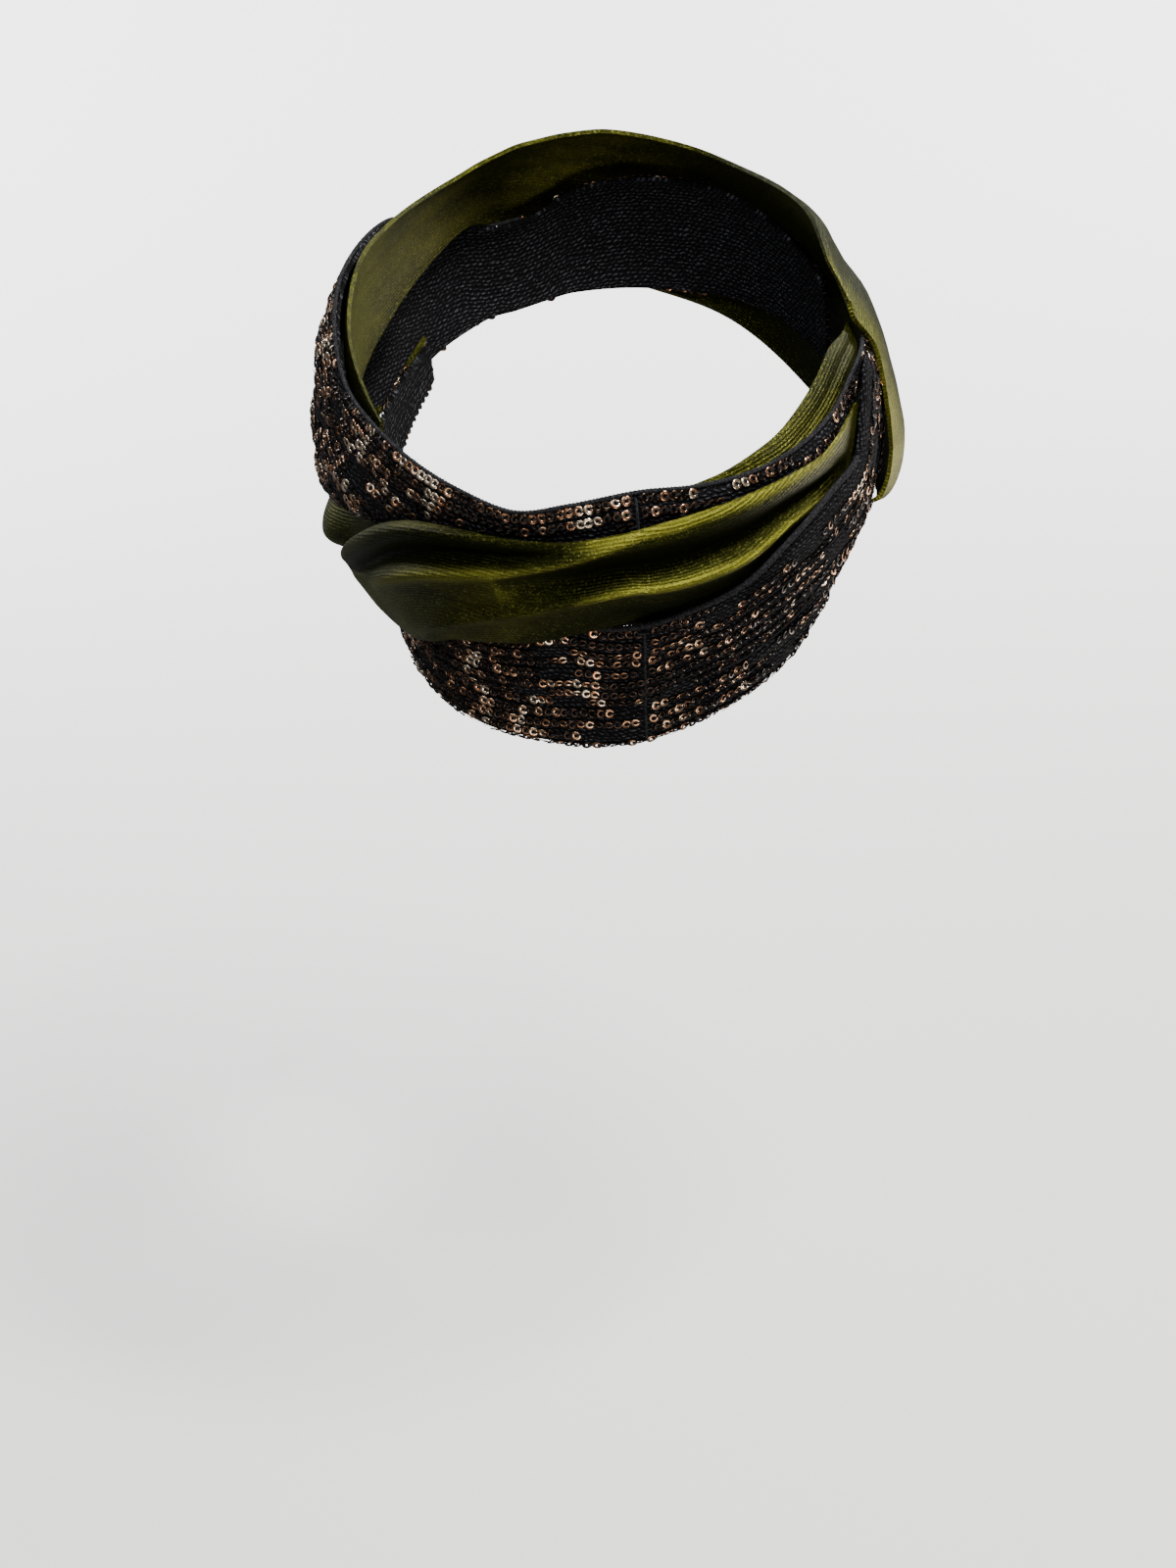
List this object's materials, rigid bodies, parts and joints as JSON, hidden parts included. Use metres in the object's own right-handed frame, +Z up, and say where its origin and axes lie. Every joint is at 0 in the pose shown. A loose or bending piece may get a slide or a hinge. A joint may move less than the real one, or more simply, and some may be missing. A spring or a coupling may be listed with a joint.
{
  "type": "turban headwrap",
  "caption": "Twisted turban headwrap of stretch velvet and sequin cloth bands around an open crown.",
  "frame": {"origin": "middle of the head that wears the wrap, at its widest height, 82 mm under the crown", "axes": "+Z up, +Y to the wearer's front, +X to the wearer's right"},
  "size_m": [0.1875, 0.2084, 0.1649],
  "materials": {
    "velvet": "olive green stretch velvet with a short nap",
    "sequin_cloth": "black stretch mesh sewn with rows of copper sequins",
    "sequins": "polished copper-coloured plastic film sequins"
  },
  "bodies": {
    "root": {"sequin_nape_band": "sequin_cloth", "sequin_upper_band": "sequin_cloth", "velvet_main_band": "velvet", "velvet_inner_fold": "velvet", "velvet_left_fold": "velvet", "velvet_side_band": "velvet"}
  },
  "joints": []
}
